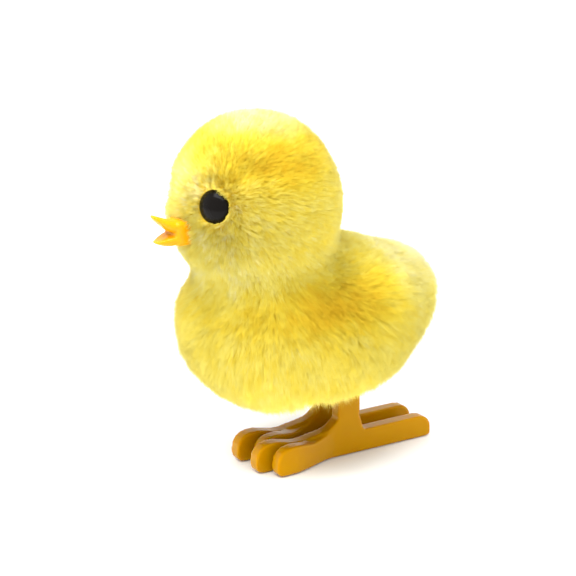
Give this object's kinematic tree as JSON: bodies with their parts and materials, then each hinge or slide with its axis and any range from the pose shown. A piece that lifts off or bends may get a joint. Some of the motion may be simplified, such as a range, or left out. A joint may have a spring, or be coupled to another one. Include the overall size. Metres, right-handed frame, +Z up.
{
  "type": "wind-up hopping chick toy",
  "caption": "Plush chick around a clockwork motor, with a beak, bead eyes, a winding knob and long plastic feet that rock on a pivot to make it hop.",
  "frame": {"origin": "on the surface the toy stands on, under the middle of its bounding box", "axes": "+Z up, -Y the way the beak points, +X the chick's left"},
  "size_m": [0.0511, 0.0695, 0.0784],
  "materials": {
    "plush": "soft short pile",
    "foot_plastic": "glossy golden moulding",
    "beak_plastic": "glossy orange moulding",
    "eye_bead": "polished black bead",
    "shell_plastic": "plain moulding",
    "knob_plastic": "glossy white moulding",
    "case_plastic": "milky moulding",
    "gear_plastic": "natural nylon",
    "steel": "drawn wire and screws",
    "spring_steel": "blued strip"
  },
  "bodies": {
    "body": {"plush_left": "plush", "plush_right": "plush", "shell_left": "shell_plastic", "shell_right": "shell_plastic", "shell_screw_neck": "steel", "shell_screw_chest": "steel", "shell_screw_rump": "steel", "beak": "beak_plastic", "left_eye": "eye_bead", "right_eye": "eye_bead", "motor_case_left": "case_plastic", "motor_case_right": "case_plastic", "motor_screw_1": "steel", "motor_screw_2": "steel", "second_pin": "steel", "crank_axle_pin": "steel", "mainspring": "spring_steel"},
    "winding": {"winding_arbor": "steel", "winding_knob": "knob_plastic", "great_wheel": "gear_plastic", "ratchet_wheel": "steel", "click": "steel"},
    "second": {"second_wheel": "gear_plastic"},
    "crank": {"crank_wheel": "gear_plastic"},
    "legs": {"rocker_shaft": "steel", "rocker_arm": "gear_plastic", "left_leg": "foot_plastic", "right_leg": "foot_plastic", "left_foot": "foot_plastic", "right_foot": "foot_plastic"}
  },
  "joints": [
    {"name": "wind", "type": "hinge", "parent": "body", "child": "winding", "pos_m": [0.00195, 0.00779, 0.03316], "axis": [1, 0, 0], "continuous": true},
    {"name": "second_spin", "type": "hinge", "parent": "body", "child": "second", "pos_m": [0.00195, -0.00107, 0.03473], "axis": [1, 0, 0], "continuous": true},
    {"name": "crank_spin", "type": "hinge", "parent": "body", "child": "crank", "pos_m": [0.00195, 0.001, 0.027], "axis": [1, 0, 0], "continuous": true},
    {"name": "legs_rock", "type": "hinge", "parent": "body", "child": "legs", "pos_m": [0.00195, 0.0103, 0.024], "axis": [1, 0, 0], "range_deg": [-9.5, 9.5]}
  ],
  "couplings": [
    {"joint": "second_spin", "follows": "wind", "ratio": -3.5},
    {"joint": "crank_spin", "follows": "wind", "ratio": 10.5}
  ]
}
